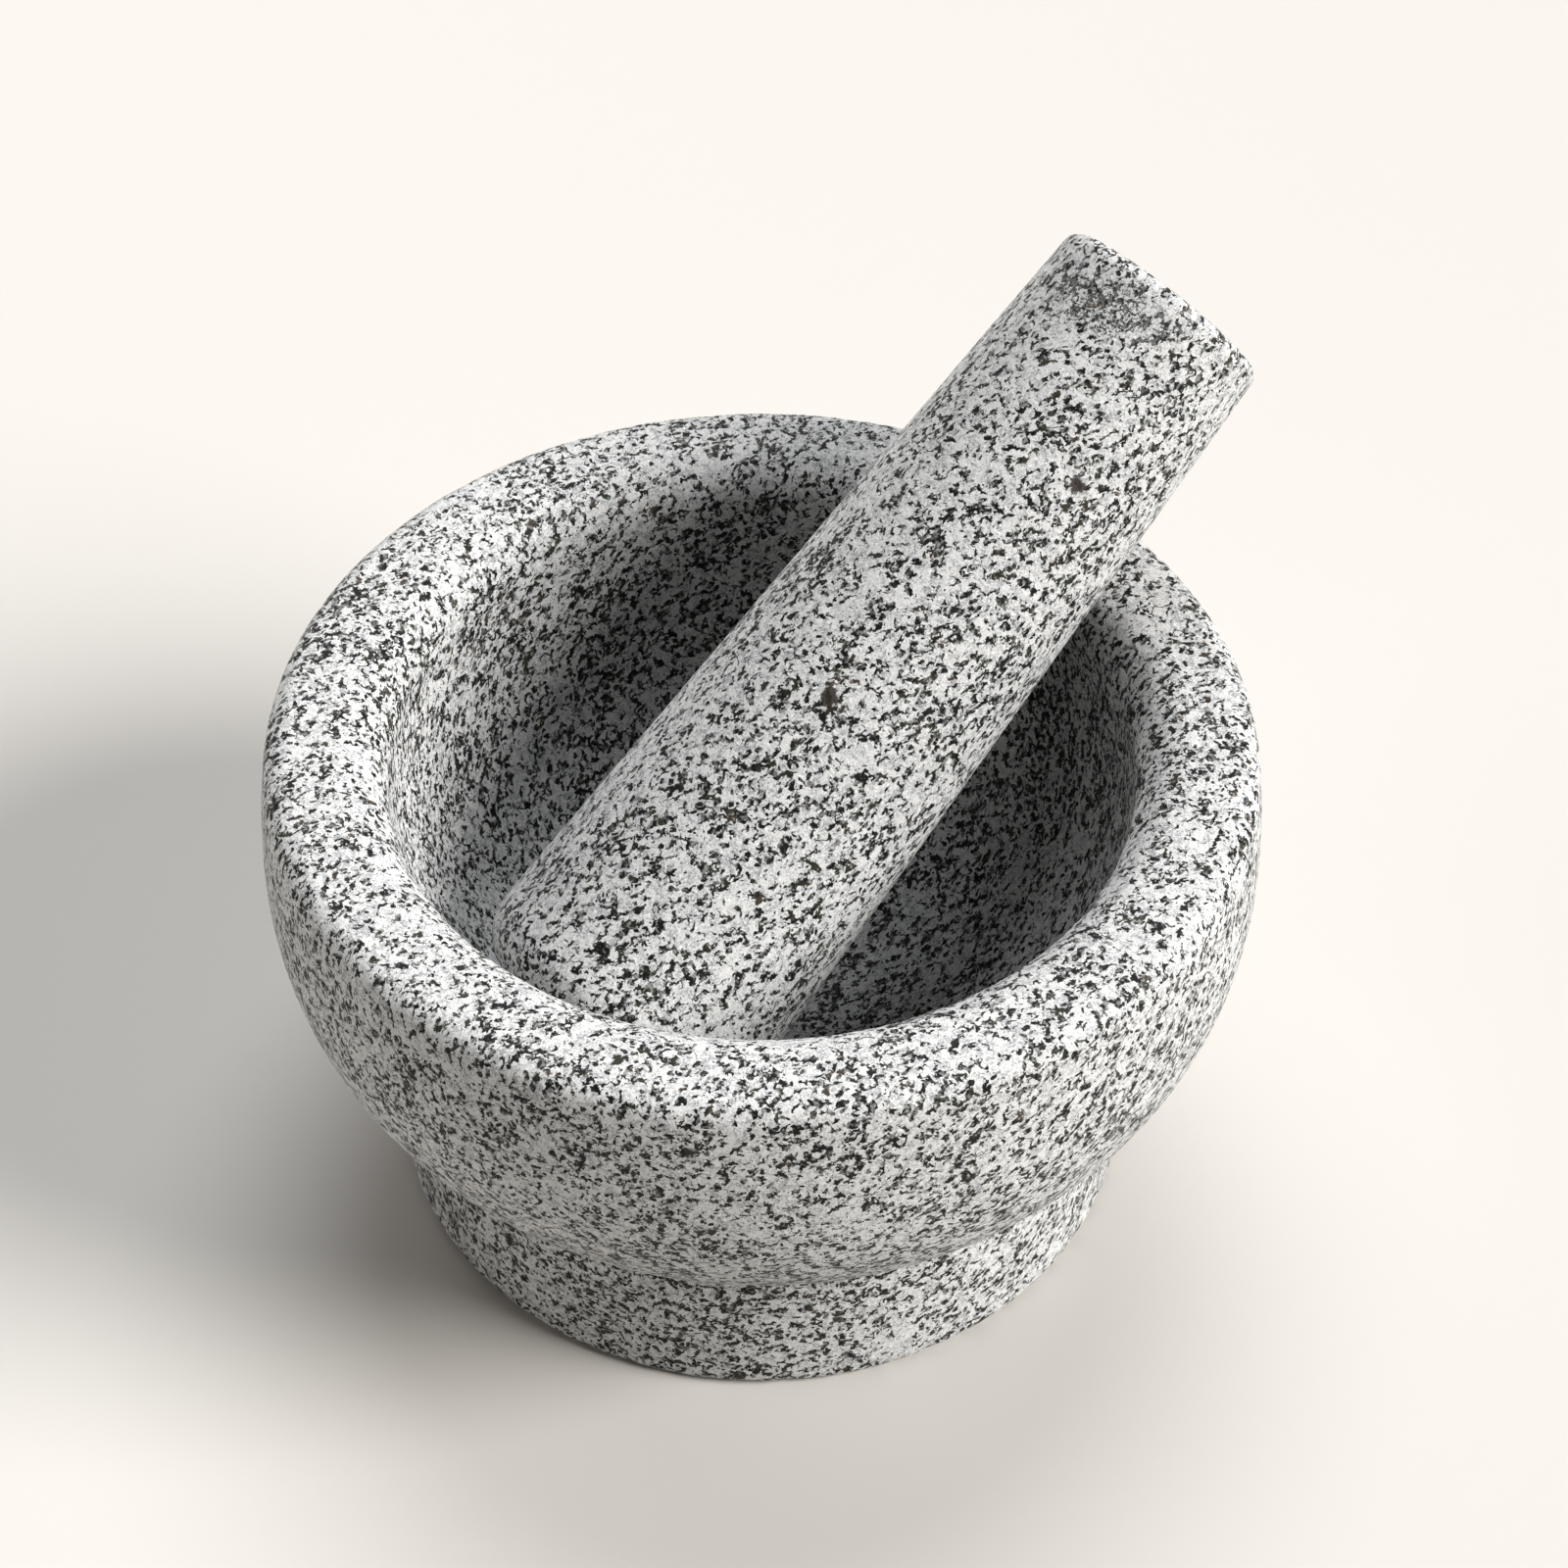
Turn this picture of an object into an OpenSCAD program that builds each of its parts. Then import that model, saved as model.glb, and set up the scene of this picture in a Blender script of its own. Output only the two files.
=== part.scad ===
// Stone mortar and pestle.
// The mortar is one turned block: a thick bowl on a short round foot, hollowed to a hemisphere.
// The pestle is a tapered stone club. It leans in the hollow and rests on the rounded rim.
// The origin is the centre of the foot's underside, with +Z up.

/* [Bowl] */
// Greatest outside diameter, part of the way up the side
bowl_d = 150; // [144:1:160]
// Height from the underside of the foot to the top of the rim
bowl_h = 84; // [80:1:90]
// Height of the greatest diameter
girth_z = 64; // [60:1:68]
// Diameter of the hollow
hollow_d = 111; // [104:1:116]
// Radius of the slight curve of the side above the greatest diameter
side_round = 110; // [80:5:160]
// Radius of the belly below the greatest diameter
belly_round = 48; // [44:1:52]

/* [Rim] */
// Rounding of the rim's outer edge
rim_outer_round = 4; // [2:0.5:6]
// Rounding of the rim's inner edge
rim_inner_round = 8; // [6:0.5:10]

/* [Foot] */
// Diameter of the foot
foot_d = 116; // [108:1:120]
// Rounding of the foot's bottom edge
foot_round = 2; // [1:0.5:3]
// Rounding of the groove where the foot meets the belly
foot_cove = 1; // [0.5:0.5:4]

/* [Pestle] */
// Length from the grinding end to the top of the handle
pestle_l = 144; // [135:1:155]
// Greatest diameter, near the grinding end
pestle_d = 47; // [44:1:50]
// Diameter of the handle at the top
handle_d = 35.5; // [32:0.5:38]
// Rounding between the grinding face and the side
grind_round = 9; // [7:0.5:12]
// Radius of the domed grinding face
grind_dome = 60; // [50:5:100]
// Rounding of the handle's top edge
handle_round = 2; // [1:0.5:4]
// Radius of the slightly domed handle top
handle_dome = 120; // [80:10:200]

/* [Resting place] */
// Slope of the pestle's axis above level
lean = 35.5; // [33:0.5:40]
// Direction the pestle leans in, from +X towards +Y
heading = 41; // [0:1:90]
// Gap kept between the pestle and the bowl
gap = 0.3; // [0.2:0.1:0.5]

/* [Hidden] */
$fn = 120;
// Largest turn between two neighbouring points of a rounded outline, in degrees
arc_step = 3;

bowl_stone = [0.76, 0.76, 0.75];
pestle_stone = [0.70, 0.71, 0.72];

// Points along an arc of radius r about c, from direction a to direction b
function arc(c, r, a, b) =
    let (n = ceil(abs(b - a) / arc_step))
    [for (i = [0:n]) c + r * [cos(a + (b - a) * i / n), sin(a + (b - a) * i / n)]];

// An outline without the repeated point where one arc runs on into the next
function joined(points) =
    [for (i = [0:len(points) - 1]) if (i == 0 || norm(points[i] - points[i - 1]) > 0.001) points[i]];

// Bowl: each centre is that of one rounded stretch of the outline, as [radius, height]
hollow_r = hollow_d / 2;
hollow_z = bowl_h - rim_inner_round;
belly_c = [bowl_d / 2 - belly_round, girth_z];
side_c = [bowl_d / 2 - side_round, girth_z];
outer_z = bowl_h - rim_outer_round;
outer_c = [side_c.x + sqrt(pow(side_round - rim_outer_round, 2) - pow(outer_z - girth_z, 2)), outer_z];
outer_a = atan2(outer_c.y - side_c.y, outer_c.x - side_c.x);
inner_c = [hollow_r + rim_inner_round, hollow_z];
foot_r = foot_d / 2;
cove_x = foot_r + foot_cove;
cove_c = [cove_x, girth_z - sqrt(pow(belly_round + foot_cove, 2) - pow(cove_x - belly_c.x, 2))];
cove_a = atan2(belly_c.y - cove_c.y, cove_c.x - belly_c.x);

// Pestle: centres as [radius, distance from the grinding end]
grind_x = pestle_d / 2 - grind_round;
grind_a = asin(grind_x / (grind_dome - grind_round));
grind_c = [grind_x, grind_dome - (grind_dome - grind_round) * cos(grind_a)];
handle_x = handle_d / 2 - handle_round;
handle_a = asin(handle_x / (handle_dome - handle_round));
handle_c = [handle_x, pestle_l - handle_dome + (handle_dome - handle_round) * cos(handle_a)];
// Lean of the side towards the pestle's axis
shaft = handle_c - grind_c;
taper = asin((grind_round - handle_round) / norm(shaft)) - atan2(shaft.x, shaft.y);

// Resting place, in the upright plane of the lean, as [distance out from the bowl's axis, height].
// The rounding under the grinding end lies against the hollow, and the side on the rim's inner edge.
rest_slope = lean + taper;
rest_reach = hollow_r - gap - grind_round;
rest_turn = acos((grind_round + rim_inner_round + gap - inner_c.x * sin(rest_slope)) / rest_reach);
rest_a = rest_slope + 90 + rest_turn;
rest_c = [rest_reach * cos(rest_a), hollow_z + rest_reach * sin(rest_a)];
pestle_at = rest_c - grind_c.x * [sin(lean), -cos(lean)] - grind_c.y * [cos(lean), sin(lean)];

module mortar() {
    outline = joined(concat(
        [[0, 0]],
        arc([foot_r - foot_round, foot_round], foot_round, -90, 0),
        arc(cove_c, foot_cove, 180, 180 - cove_a),
        arc(belly_c, belly_round, -cove_a, 0),
        arc(side_c, side_round, 0, outer_a),
        arc(outer_c, rim_outer_round, outer_a, 90),
        arc(inner_c, rim_inner_round, 90, 180),
        [[0, hollow_z]]
    ));
    color(bowl_stone)
    difference() {
        rotate_extrude() polygon(outline);
        translate([0, 0, hollow_z]) sphere(r = hollow_r);
    }
}

module pestle() {
    outline = joined(concat(
        arc([0, grind_dome], grind_dome, -90, grind_a - 90),
        arc(grind_c, grind_round, grind_a - 90, taper),
        arc(handle_c, handle_round, taper, 90 - handle_a),
        arc([0, pestle_l - handle_dome], handle_dome, 90 - handle_a, 90)
    ));
    color(pestle_stone)
    rotate([0, 0, heading])
    translate([pestle_at.x, 0, pestle_at.y])
    rotate([0, 90 - lean, 0])
    rotate_extrude() polygon(outline);
}

mortar();
pestle();
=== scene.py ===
import math

import bpy
import numpy as np
from mathutils import Matrix, Vector, noise
from mathutils.bvhtree import BVHTree


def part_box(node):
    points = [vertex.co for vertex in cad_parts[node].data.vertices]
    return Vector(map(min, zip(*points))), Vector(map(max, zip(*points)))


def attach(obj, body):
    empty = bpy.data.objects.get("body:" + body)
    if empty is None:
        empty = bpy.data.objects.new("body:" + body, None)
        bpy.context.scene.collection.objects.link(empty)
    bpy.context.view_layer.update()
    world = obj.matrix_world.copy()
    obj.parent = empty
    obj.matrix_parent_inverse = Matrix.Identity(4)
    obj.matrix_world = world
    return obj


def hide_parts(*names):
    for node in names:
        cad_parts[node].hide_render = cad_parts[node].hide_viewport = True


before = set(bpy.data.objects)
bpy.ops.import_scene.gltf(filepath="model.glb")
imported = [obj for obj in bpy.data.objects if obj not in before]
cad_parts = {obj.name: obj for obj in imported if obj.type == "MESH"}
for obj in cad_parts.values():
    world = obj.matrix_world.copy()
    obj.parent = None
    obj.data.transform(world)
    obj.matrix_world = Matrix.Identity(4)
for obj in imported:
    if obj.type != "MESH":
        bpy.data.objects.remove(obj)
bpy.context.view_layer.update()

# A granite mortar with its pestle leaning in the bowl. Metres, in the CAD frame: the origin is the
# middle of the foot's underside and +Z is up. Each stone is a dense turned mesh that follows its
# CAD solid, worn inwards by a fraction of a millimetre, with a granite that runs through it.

MM = 0.001
UP = Vector((0, 0, 1))


# --- Outlines: each stone's half section, read from its CAD solid --------------------------------

RAYS = 3000  # cast for each side of a section
STEP = 0.1 * MM  # between the points of an evened outline
CRISP = 0.35 * MM  # corners are softened over this length,
SMOOTH = 2.5 * MM  # and the flats of a gentle curve are evened out over this one
CORNER_REACH = 6 * MM  # on each side of a corner the outline stays crisp,
CORNER_FADE = 1.5 * MM  # and the change from crisp to smooth is spread over this length
CORNER_FROM, CORNER_SPAN = 0.09, 0.12  # mm: the two lie so far apart where a corner starts to
# count, and so much further where it counts in full


def cad_tree(node):
    """The CAD node's surface, ready for ray casts."""
    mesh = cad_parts[node].data
    return BVHTree.FromPolygons([v.co for v in mesh.vertices], [p.vertices for p in mesh.polygons])


def axis_of(node):
    """The middle of a turned solid and the direction of its axis, upwards."""
    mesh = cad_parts[node].data
    areas = np.array([p.area for p in mesh.polygons])
    centres = np.array([p.center for p in mesh.polygons])
    middle = centres.T @ areas / areas.sum()
    spread = 9 * np.einsum("k,ki,kj->ij", areas, centres - middle, centres - middle)
    for polygon, area in zip(mesh.polygons, areas):
        corners = np.array([mesh.vertices[i].co for i in polygon.vertices]) - middle
        spread += area * corners.T @ corners
    along = Vector(np.linalg.eigh(spread)[1][:, -1])
    return Vector(middle), along if along.z > 0 else -along


def section_point(tree, hub, along, side, slope, far=None):
    """Where a ray from the hub meets the surface, as (radius, height).

    With far, the ray comes from that far out, so it finds the outermost surface."""
    way = side * math.cos(slope) + along * math.sin(slope)
    start, heading = (hub + way * far, -way) if far else (hub, way)
    place = tree.ray_cast(start, heading)[0] - hub
    return place.dot(side), place.dot(along)


def softened(outline, length):
    """The outline averaged over that length; it goes on mirrored past the axis."""
    reach = round(3 * length / STEP)
    weights = np.exp(-0.5 * (np.arange(-reach, reach + 1) * STEP / length) ** 2)
    mirror = np.array([-1, 1])
    before, after = outline[reach:0:-1] * mirror, outline[-2:-reach - 2:-1] * mirror
    padded = np.concatenate([before, outline, after])
    weights /= weights.sum()
    return np.stack([np.convolve(padded[:, i], weights, "valid") for i in (0, 1)], axis=1)


def evened(points):
    """The outline at even steps of its length, softened, with both ends on the axis."""
    lengths = np.concatenate([[0], np.cumsum(np.hypot(*np.diff(points, axis=0).T))])
    even = np.arange(0, lengths[-1], STEP)
    outline = np.stack([np.interp(even, lengths, points[:, i]) for i in (0, 1)], axis=1)
    crisp, smooth = softened(outline, CRISP), softened(outline, SMOOTH)
    apart = np.hypot(*(crisp - smooth).T)
    near = round(CORNER_REACH / STEP)
    widest = np.array([apart[max(i - near, 0):i + near + 1].max() for i in range(len(apart))])
    bend = softened(np.stack([widest, widest], axis=1), CORNER_FADE)[:, 1]
    share = np.clip((bend / MM - CORNER_FROM) / CORNER_SPAN, 0, 1)[:, None]
    soft = crisp * share + smooth * (1 - share)
    soft[[0, -1], 0] = 0
    return soft


def bends(outline, segments):
    """How sharply the outline turns outwards at each vertex of the mesh, in radians per mm."""
    along = np.diff(outline, axis=0)
    slopes = np.unwrap(np.arctan2(along[:, 1], along[:, 0]))
    spans = np.hypot(*along.T)
    turns = np.diff(slopes) / ((spans[1:] + spans[:-1]) / 2) * MM
    area = np.dot(outline[:-1, 0] + outline[1:, 0], along[:, 1])
    outwards = np.maximum(turns if area > 0 else -turns, 0)
    return np.concatenate([np.repeat(outwards, segments), [0, 0]])


CROWDING = 3 * MM  # a turn of one radian gets as many rings as this length of a straight outline


def ringed(outline, rings):
    """That many points of the outline, closer together where it turns."""
    along = np.diff(outline, axis=0)
    slopes = np.unwrap(np.arctan2(along[:, 1], along[:, 0]))
    turns = np.abs(np.concatenate([[0], np.diff(slopes)]))
    shares = np.concatenate([[0], np.cumsum(np.hypot(*along.T) + CROWDING * turns)])
    picks = np.linspace(0, shares[-1], rings)
    return np.stack([np.interp(picks, shares, outline[:, i]) for i in (0, 1)], axis=1)


# --- Meshes: an outline turned about its axis, then worn -----------------------------------------

UNEVEN_WAVE = 22 * MM  # of the long unevenness
NIBBLE = 3.5 * MM  # of the small nibbles,
CRUMB = 1.6 * MM  # and of the fine ones on edges
ROUGHNESS, LACUNARITY = 0.9, 2.1  # of the fractal noise that nibbles
SHARP = 3  # an edge is fully nibbled from a third of a radian per mm


def turned(name, outline, hub, along, segments):
    """A closed solid of revolution; the outline starts and ends on the axis."""
    side = along.orthogonal().normalized()
    frame_at_hub = Matrix((side, along.cross(side), along)).transposed()
    angles = np.linspace(0, 2 * math.pi, segments, endpoint=False)
    circle = np.stack([np.cos(angles), np.sin(angles), np.zeros(segments)], axis=1)
    rings = [circle * radius + np.array([0, 0, height]) for radius, height in outline[1:-1]]
    poles = [[0, 0, outline[0, 1]], [0, 0, outline[-1, 1]]]
    local = np.concatenate([*rings, poles])
    corners = local @ np.array(frame_at_hub).T + np.array(hub)
    first, last = len(corners) - 2, len(corners) - 1
    faces = []
    for i in range(segments):
        j = (i + 1) % segments
        faces.append((first, j, i))
        faces.append((last, *(len(rings) * segments - segments + k for k in (i, j))))
        for start in range(0, (len(rings) - 1) * segments, segments):
            faces.append((start + i, start + j, start + segments + j, start + segments + i))
    mesh = bpy.data.meshes.new(name)
    mesh.from_pydata(corners.tolist(), [], faces)
    mesh.shade_smooth()
    piece = bpy.data.objects.new(name, mesh)
    bpy.context.scene.collection.objects.link(piece)
    return piece


def facing_out(piece):
    """Turns the faces so that they look out of the solid."""
    mesh = piece.data
    volume = sum(p.center.dot(p.normal) * p.area for p in mesh.polygons)
    if volume < 0:
        mesh.flip_normals()


def worn(piece, edges, uneven, nibbles, seed):
    """Moves every vertex inwards: a long unevenness, and nibbles that bite most into the edges.

    uneven and nibbles are depths in metres; edges says how sharp the edge is at each vertex."""
    mesh = piece.data
    shift = Vector((seed, 0, 0))
    normals = [n.vector.copy() for n in mesh.vertex_normals]
    for vertex, normal, edge in zip(mesh.vertices, normals, edges):
        wave = 0.5 + 0.5 * noise.noise(vertex.co / UNEVEN_WAVE + shift)
        small = noise.fractal(vertex.co / NIBBLE + shift, ROUGHNESS, LACUNARITY, 3)
        fine = noise.fractal(vertex.co / CRUMB + shift, ROUGHNESS, LACUNARITY, 2)
        depth = uneven * min(max(wave, 0), 1) + nibbles * max(small - 0.25, 0)
        depth += nibbles * min(SHARP * edge, 1) * (max(small, 0) + 0.7 * max(fine - 0.1, 0))
        vertex.co -= normal * depth


# --- Granite -------------------------------------------------------------------------------------


class Granite:
    """A material's node tree. Each method adds a node or two and returns the last one's output."""

    def __init__(self, name):
        self.material = bpy.data.materials.new(name)
        self.material.use_nodes = True
        self.nodes = self.material.node_tree.nodes
        self.links = self.material.node_tree.links
        self.shader = self.nodes["Principled BSDF"]

    def add(self, kind, inputs, output=0, **settings):
        node = self.nodes.new(kind)
        for key, value in settings.items():
            setattr(node, key, value)
        for key, value in inputs.items():
            if isinstance(value, bpy.types.NodeSocket):
                self.links.new(value, node.inputs[key])
            else:
                node.inputs[key].default_value = value
        return node.outputs[output]

    def maths(self, operation, *values):
        return self.add("ShaderNodeMath", dict(enumerate(values)), operation=operation)

    def vector(self, operation, *values):
        inputs = dict(enumerate(values))
        output = "Value" if operation == "LENGTH" else "Vector"
        return self.add("ShaderNodeVectorMath", inputs, output, operation=operation)

    def clouds(self, at, size, detail, roughness, output="Fac"):
        """Noise whose lumps are about that many metres across. It lies round 0.5."""
        inputs = {"Vector": at, "Scale": 1 / size, "Detail": detail, "Roughness": roughness}
        return self.add("ShaderNodeTexNoise", inputs, output)

    def added(self, value, amount, change):
        """The value with that amount of a noise's change from its middle added."""
        return self.maths("MULTIPLY_ADD", self.maths("SUBTRACT", change, 0.5), amount, value)

    def crystals(self, at, size, output="Color", **settings):
        """Random cells about that many metres across."""
        inputs = {"Vector": at, "Scale": 1 / size}
        return self.add("ShaderNodeTexVoronoi", inputs, output, **settings)

    def channel(self, colour, output):
        return self.add("ShaderNodeSeparateColor", {"Color": colour}, output)

    def step(self, value, low, high, to_low=0.0, to_high=1.0):
        """A smooth step: to_low where the value is low, to_high where it is high."""
        inputs = {"Value": value, "From Min": low, "From Max": high,
                  "To Min": to_low, "To Max": to_high}
        return self.add("ShaderNodeMapRange", inputs, interpolation_type="SMOOTHSTEP")

    def blend(self, share, low, high):
        colour_a, colour_b, colour_out = 6, 7, 2  # the mix node's sockets for colours
        inputs = {"Factor": share, colour_a: low, colour_b: high}
        return self.add("ShaderNodeMix", inputs, colour_out, data_type="RGBA")

    def within(self, place, ellipsoid):
        """0 at the ellipsoid's middle and 1 on its surface."""
        shape = {"Vector": place, "Location": ellipsoid.translation,
                 "Rotation": ellipsoid.to_euler(), "Scale": ellipsoid.to_scale()}
        return self.vector("LENGTH", self.add("ShaderNodeMapping", shape, vector_type="TEXTURE"))

    def stretched(self, at, turn, stretch):
        """Places that draw a pattern out along axes turned by those radians."""
        inputs = {"Vector": at, "Rotation": turn, "Scale": stretch}
        return self.add("ShaderNodeMapping", inputs, vector_type="TEXTURE")


WHITE = (0.60, 0.598, 0.59, 1)
GREY = (0.245, 0.255, 0.265, 1)
BLACK = (0.006, 0.0065, 0.006, 1)
DARK_OLIVE = (0.03, 0.03, 0.02, 1)
BROWN = (0.045, 0.034, 0.024, 1)
RUST = (0.024, 0.018, 0.014, 1)
# Painted highlight: the brightest specks of the colour stand in for glints of light off the stone
PAINTED_GLINT = (0.80, 0.80, 0.79, 1)
SALT = (0.55, 0.555, 0.55, 1)
PEPPER = (0.03, 0.032, 0.03, 1)

# About how wide the lumps of each pattern are
FRAY = 1.5 * MM  # that frays the outlines of flecks and crystals,
FRAY_REACH = 2.2 * MM  # by up to half of this
CLUSTER = 6.5 * MM  # where flecks stand closer together,
DRIFT = 28 * MM  # and the wider ones
SEAM = 2.2 * MM  # cells that thin black seams run between,
SEAM_PIECE = 1.3 * MM  # and the pieces that those seams are broken into
FLECK = 0.76 * MM
SPECK = 0.6 * MM
MARK = 0.7 * MM  # turning marks
TONE = 1.1 * MM  # greyer and whiter crystals,
HAZE = 4 * MM  # wider ones,
MILK = 0.32 * MM  # and the finest
GLINT = 0.3 * MM  # painted glints: bright specks in the colour that stand in for highlights
MINERAL = 1.3 * MM  # flecks of one colour
VEIL = 0.8 * MM  # flecks that lie under a little pale stone
GRAIN = 0.45 * MM  # the surface's fine grain
PEPPER_GRAIN = 0.52 * MM  # in the knot
KNOT_FRAY = 2.5 * MM  # of the knot's outline
CLOT_FRAY = 1.1 * MM  # and of a clot's

APART = 0.37  # metres for each unit of turn, so no two stones are the same part of the rock
CORE_INNER, CORE_OUTER = 58 * MM, 78 * MM  # more flecks within the one, fewer past the other
RELIEF = 0.09 * MM  # the bump's height
SHEEN = 0.12  # the stone's specular level: it is ground, not polished


def fleck_share(g, place, at, dark, core):
    """How much of the stone is flecks: more in clusters, and more round the core."""
    share = g.added(dark, 1.0, g.clouds(at, CLUSTER, 2, 0.6))
    share = g.added(share, 0.35, g.clouds(at, DRIFT, 1, 0.5))
    if core:
        depth = g.vector("LENGTH", g.vector("SUBTRACT", place, core))
        share = g.maths("ADD", share, g.step(depth, CORE_INNER, CORE_OUTER, 0.09, -0.01))
    return share


def fleck_mask(g, at, ragged, share):
    """1 on a fleck and 0 beside it: broken seams, flecks that lie two ways, and fine specks."""
    seams = g.crystals(ragged, SEAM, "Distance", feature="DISTANCE_TO_EDGE")
    unbroken = g.step(g.clouds(at, SEAM_PIECE, 2, 0.6), 0.5, 0.64)
    seam_width = g.maths("MULTIPLY", unbroken, g.maths("MULTIPLY", share, 0.5))
    masks = [g.maths("LESS_THAN", seams, seam_width)]
    across = g.stretched(ragged, (0.3, 0.2, 0.5), (2.0, 0.75, 0.9))
    upright = g.stretched(ragged, (1.1, 0.4, 2.0), (0.7, 0.9, 1.9))
    for lie, part in ((across, 0.44), (upright, 0.34)):
        lot = g.channel(g.crystals(lie, FLECK), "Red")
        masks.append(g.maths("LESS_THAN", lot, g.maths("MULTIPLY", share, part)))
    specks = g.clouds(ragged, SPECK, 2, 0.6)
    masks.append(g.maths("GREATER_THAN", specks, g.maths("MULTIPLY_ADD", share, -0.22, 0.765)))
    fleck = masks[0]
    for mask in masks[1:]:
        fleck = g.maths("MAXIMUM", fleck, mask)
    return fleck


def turning_marks(g, place, hub, along):
    """Noise in rings round the stone's axis."""
    own = g.add("ShaderNodeMapping", {"Vector": g.vector("SUBTRACT", place, hub),
                                      "Rotation": along.rotation_difference(UP).to_euler()})
    east, north, height = (g.add("ShaderNodeSeparateXYZ", {"Vector": own}, i) for i in range(3))
    squares = g.maths("MULTIPLY_ADD", east, east, g.maths("MULTIPLY", north, north))
    radius = g.maths("SQRT", squares)
    return g.clouds(g.add("ShaderNodeCombineXYZ", {"X": radius, "Y": height}), MARK, 3, 0.6)


def ground_colour(g, at, ragged, milk, marks):
    """White and grey crystals, with bright specks painted in as glints."""
    tone = g.step(g.clouds(ragged, TONE, 3, 0.6), 0.36, 0.66, -1.95, -1.05)
    grey_share = g.maths("MULTIPLY_ADD", milk, 3.6, tone)
    grey_share = g.added(grey_share, 0.9, g.clouds(at, HAZE, 3, 0.6))
    grey_share = g.added(grey_share, 0.6, marks)
    # Painted highlight: bright specks put into the colour as glints
    painted_glints = g.step(g.clouds(ragged, GLINT, 2, 0.6), 0.56, 0.66)
    return g.blend(painted_glints, g.blend(grey_share, WHITE, GREY), PAINTED_GLINT)


def frayed(g, place, ellipsoid, lumps, amount):
    """How far out of the ellipsoid a place is, as a number that rises outwards, made uneven."""
    return g.maths("MULTIPLY_ADD", lumps, amount, g.within(place, ellipsoid))


def fleck_colour(g, ragged):
    """Black, or olive, or here and there brown."""
    mineral = g.channel(g.crystals(ragged, MINERAL), "Blue")
    flecks = g.blend(g.step(mineral, 0.4, 1.0), BLACK, DARK_OLIVE)
    return g.blend(g.step(mineral, 0.92, 0.96), flecks, BROWN)


def granite(name, turn, dark, hub, along, core=None, knot=None, clots=()):
    """Pale granite with black flecks.

    turn sets which part of the rock it is, and dark is the flecks' share. hub and along are the
    stone's middle and axis, which the faint turning marks go round. Flecks are closer together
    round the point core. knot places an ellipsoid of finer, greyer grain, and clots are dark ones:
    matrices that take a ball of radius 1 to each."""
    g = Granite(name)
    place = g.add("ShaderNodeTexCoord", {}, "Object")
    at = g.add("ShaderNodeMapping",
               {"Vector": place, "Rotation": turn, "Location": Vector(turn) * APART})
    shove = g.vector("SUBTRACT", g.clouds(at, FRAY, 3, 0.6, output="Color"), (0.5, 0.5, 0.5))
    ragged = g.vector("MULTIPLY_ADD", shove, (FRAY_REACH,) * 3, at)

    fleck = fleck_mask(g, at, ragged, fleck_share(g, place, at, dark, core))
    marks = turning_marks(g, place, hub, along)
    milk = g.clouds(at, MILK, 2, 0.7)
    ground = ground_colour(g, at, ragged, milk, marks)
    flecks = fleck_colour(g, ragged)
    veil = g.step(g.clouds(at, VEIL, 2, 0.6), 0.34, 0.5, 0.62, 1)
    colour = g.blend(g.maths("MULTIPLY", fleck, veil), ground, flecks)
    if knot:
        grains = g.step(g.clouds(ragged, PEPPER_GRAIN, 3, 0.7), 0.45, 0.53)
        pepper = g.blend(g.maths("MULTIPLY", fleck, 0.75), g.blend(grains, PEPPER, SALT), flecks)
        outwards = frayed(g, place, knot, g.clouds(at, KNOT_FRAY, 3, 0.7), 2.4)
        colour = g.blend(g.step(outwards, 1.8, 2.1), pepper, colour)
    for clot in clots:
        outwards = frayed(g, place, clot, g.clouds(at, CLOT_FRAY, 3, 0.7), 2.2)
        colour = g.blend(g.step(outwards, 1.65, 2.0, 0.95, 0), colour, RUST)
    g.links.new(colour, g.shader.inputs["Base Color"])

    rough = g.maths("MULTIPLY_ADD", fleck, -0.14, g.step(milk, 0.3, 0.7, 0.62, 0.74))
    g.links.new(rough, g.shader.inputs["Roughness"])
    g.shader.inputs["Specular IOR Level"].default_value = SHEEN

    relief = g.maths("MULTIPLY_ADD", fleck, -0.25, g.clouds(at, GRAIN, 3, 0.6))
    relief = g.maths("MULTIPLY_ADD", marks, 0.5, relief)
    bump = g.add("ShaderNodeBump", {"Height": relief, "Distance": RELIEF, "Strength": 1.0})
    g.links.new(bump, g.shader.inputs["Normal"])
    return g.material


# --- The two stones ------------------------------------------------------------------------------

MORTAR_RINGS, MORTAR_SEGMENTS = 256, 356
PESTLE_RINGS, PESTLE_SEGMENTS = 300, 300


def mortar_outline():
    """From the bottom of the hollow, over the rim, and down to the middle of the underside."""
    tree = cad_tree("mortar")
    low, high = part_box("mortar")
    hub = Vector((0, 0, high.z))
    side = Vector((1, 0, 0))
    slopes = -math.pi / 2 * np.linspace(0.001, 1, RAYS) ** 2
    inside = [section_point(tree, hub, UP, side, slope) for slope in slopes[::-1]]
    outside = [section_point(tree, hub, UP, side, slope, 2 * high.x) for slope in slopes]
    return np.array(inside + outside), hub, (low + high) / 2


def pestle_outline():
    """From the grinding end to the handle's end."""
    tree = cad_tree("pestle")
    hub, along = axis_of("pestle")
    side = along.orthogonal().normalized()
    slopes = np.linspace(-math.pi / 2, math.pi / 2, RAYS)
    return np.array([section_point(tree, hub, along, side, slope) for slope in slopes]), hub, along


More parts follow.
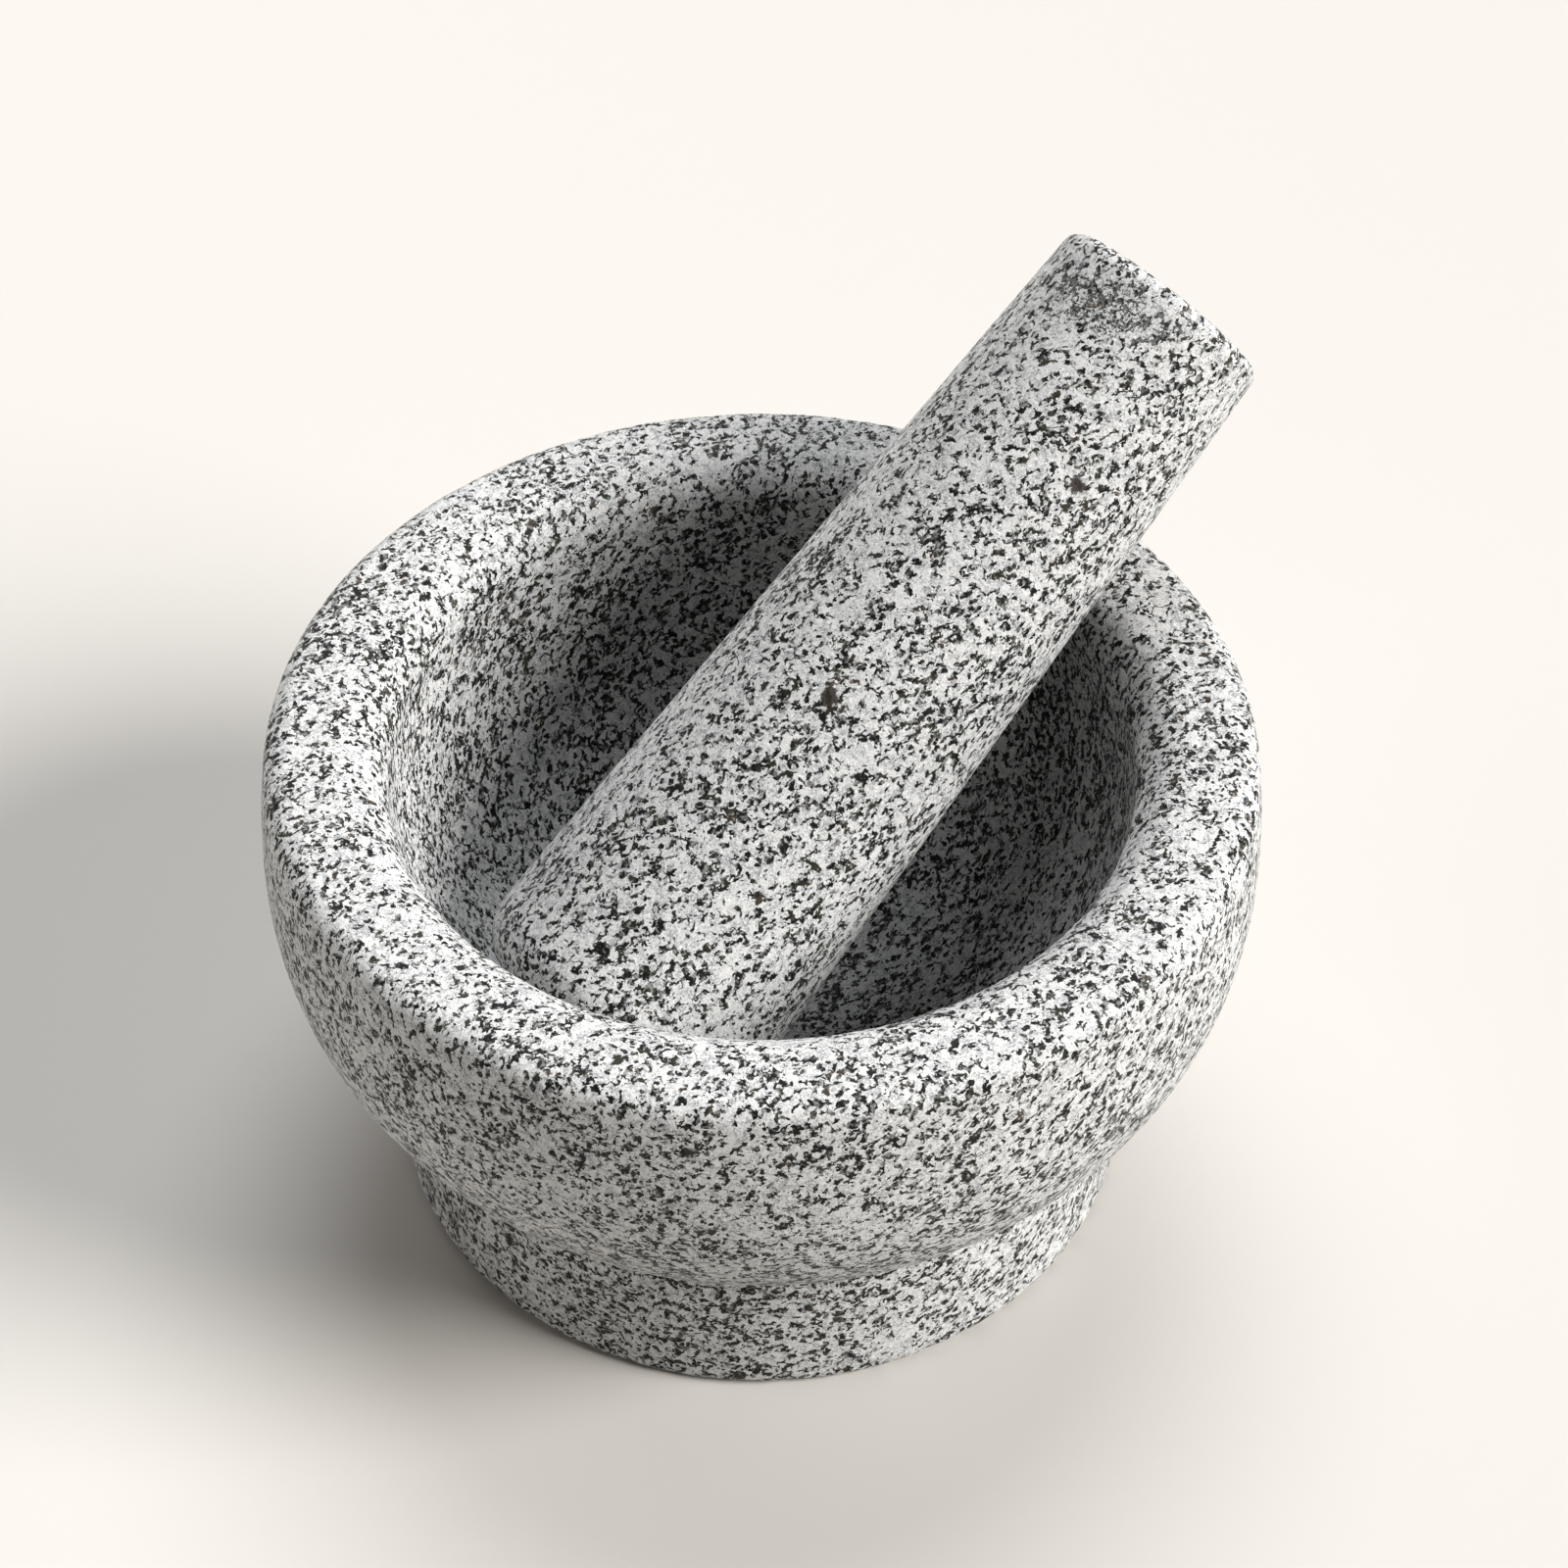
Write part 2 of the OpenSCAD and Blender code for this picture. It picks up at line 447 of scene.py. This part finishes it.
def make_mortar():
    points, hub, core = mortar_outline()
    outline = ringed(evened(points), MORTAR_RINGS)
    piece = turned("mortar_granite", outline, hub, UP, MORTAR_SEGMENTS)
    facing_out(piece)
    edges = bends(outline, MORTAR_SEGMENTS)
    worn(piece, edges, uneven=0.10 * MM, nibbles=0.25 * MM, seed=3)
    material = granite("mortar_granite", (0.4, 0.9, 0.2), dark=0.295, hub=hub, along=UP, core=core)
    piece.data.materials.append(material)
    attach(piece, "mortar")
    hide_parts("mortar")


def spot(outline, hub, along, from_end, turn, tilt, size):
    """An ellipsoid on the pestle's side, as a matrix.

    It lies from_end metres from the handle's end, turned that many degrees from the upper side.
    tilt is its slope in degrees, and size its half length, half width and half depth."""
    upper = (UP - along * UP.dot(along)).normalized()
    around = along.cross(upper)
    height = outline[-1, 1] - from_end
    radius = np.interp(height, outline[:, 1], outline[:, 0])
    turn, tilt = math.radians(turn), math.radians(tilt)
    out = upper * math.cos(turn) + around * math.sin(turn)
    level = around * math.cos(turn) - upper * math.sin(turn)
    length = level * math.cos(tilt) + along * math.sin(tilt)
    axes = Matrix((length, out.cross(length), out)).transposed()
    middle = hub + along * height + out * radius
    return Matrix.LocRotScale(middle, axes.to_quaternion(), Vector(size))


def make_pestle():
    points, hub, along = pestle_outline()
    outline = ringed(evened(points), PESTLE_RINGS)
    piece = turned("pestle_granite", outline, hub, along, PESTLE_SEGMENTS)
    facing_out(piece)
    edges = bends(outline, PESTLE_SEGMENTS)
    worn(piece, edges, uneven=0.08 * MM, nibbles=0.22 * MM, seed=11)
    stone = outline, hub, along
    knot = spot(*stone, from_end=8.5 * MM, turn=11, tilt=15, size=(13.5 * MM, 5.2 * MM, 6 * MM))
    clots = [
        spot(*stone, from_end=32 * MM, turn=51, tilt=20, size=(2 * MM, 1.6 * MM, 2 * MM)),
        spot(*stone, from_end=78.5 * MM, turn=23, tilt=-30, size=(2.3 * MM, 1.9 * MM, 2 * MM)),
    ]
    material = granite("pestle_granite", (1.3, 0.2, 0.8), dark=0.31, hub=hub, along=along,
                       knot=knot, clots=clots)
    piece.data.materials.append(material)
    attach(piece, "pestle")
    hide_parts("pestle")


make_mortar()
make_pestle()


# --- Floor, light and camera ---------------------------------------------------------------------

FLOOR_HALF = 3.0  # metres from the middle of the floor to each side
FLOOR_COLOUR = (0.55, 0.527, 0.495, 1)
ROOM_COLOUR = (1.0, 0.967, 0.92, 1)
ROOM_SEEN, ROOM_LIGHT = 0.9, 0.01  # the room's strength where the camera sees it, and as a light
EYE, AIM = Vector((0, -0.4074, 0.4948)), Vector((0.0035, 0.0264, 0.045))
ROLL = 0.37  # degrees
LENS, SENSOR = 90, 36  # millimetres


def make_floor():
    mesh = bpy.data.meshes.new("floor")
    signs = (-1, -1), (1, -1), (1, 1), (-1, 1)
    corners = [(FLOOR_HALF * x, FLOOR_HALF * y, 0) for x, y in signs]
    mesh.from_pydata(corners, [], [(0, 1, 2, 3)])
    floor = bpy.data.objects.new("floor", mesh)
    bpy.context.scene.collection.objects.link(floor)
    material = bpy.data.materials.new("floor")
    material.use_nodes = True
    shader = material.node_tree.nodes["Principled BSDF"]
    shader.inputs["Base Color"].default_value = FLOOR_COLOUR
    shader.inputs["Roughness"].default_value = 0.6
    mesh.materials.append(material)


def soft_light(name, azimuth, elevation, spread, strength, colour):
    """Light from a wide patch of the room. Angles are in degrees, azimuth from +X towards +Y."""
    light = bpy.data.lights.new(name, "SUN")
    light.energy = strength
    light.angle = math.radians(spread)
    light.color = colour
    lamp = bpy.data.objects.new(name, light)
    turn, rise = math.radians(azimuth), math.radians(elevation)
    level = math.cos(rise)
    way = Vector((math.cos(turn) * level, math.sin(turn) * level, math.sin(rise)))
    lamp.rotation_euler = way.to_track_quat("Z", "Y").to_euler()
    bpy.context.scene.collection.objects.link(lamp)


def make_lights():
    """A big window on the right, a softer one high behind, a little from the left and behind."""
    soft_light("window", -16, 35, 28, 5.3, (1.0, 0.985, 0.965))
    soft_light("skylight", 85, 62, 36, 2.1, (0.96, 0.98, 1.0))
    soft_light("bounce", 180, 15, 36, 0.8, (1.0, 0.97, 0.93))
    soft_light("behind", 115, 20, 40, 0.9, (1.0, 0.99, 0.98))
    world = bpy.data.worlds.new("room")
    world.use_nodes = True
    nodes, links = world.node_tree.nodes, world.node_tree.links
    background = nodes["Background"]
    background.inputs["Color"].default_value = ROOM_COLOUR
    seen = nodes.new("ShaderNodeLightPath").outputs["Is Camera Ray"]
    strength = nodes.new("ShaderNodeMapRange")
    strength.inputs["To Min"].default_value = ROOM_LIGHT
    strength.inputs["To Max"].default_value = ROOM_SEEN
    links.new(seen, strength.inputs["Value"])
    links.new(strength.outputs["Result"], background.inputs["Strength"])
    bpy.context.scene.world = world
    bpy.context.scene.view_settings.view_transform = "Standard"


def make_camera():
    camera = bpy.data.cameras.new("camera")
    camera.lens = LENS
    camera.sensor_width = SENSOR
    camera.clip_start = 0.01
    eye = bpy.data.objects.new("camera", camera)
    eye.location = EYE
    level = (AIM - EYE).to_track_quat("-Z", "Y").to_matrix()
    eye.rotation_euler = (level @ Matrix.Rotation(math.radians(ROLL), 3, "Z")).to_euler()
    bpy.context.scene.collection.objects.link(eye)
    bpy.context.scene.camera = eye


make_floor()
make_lights()
make_camera()
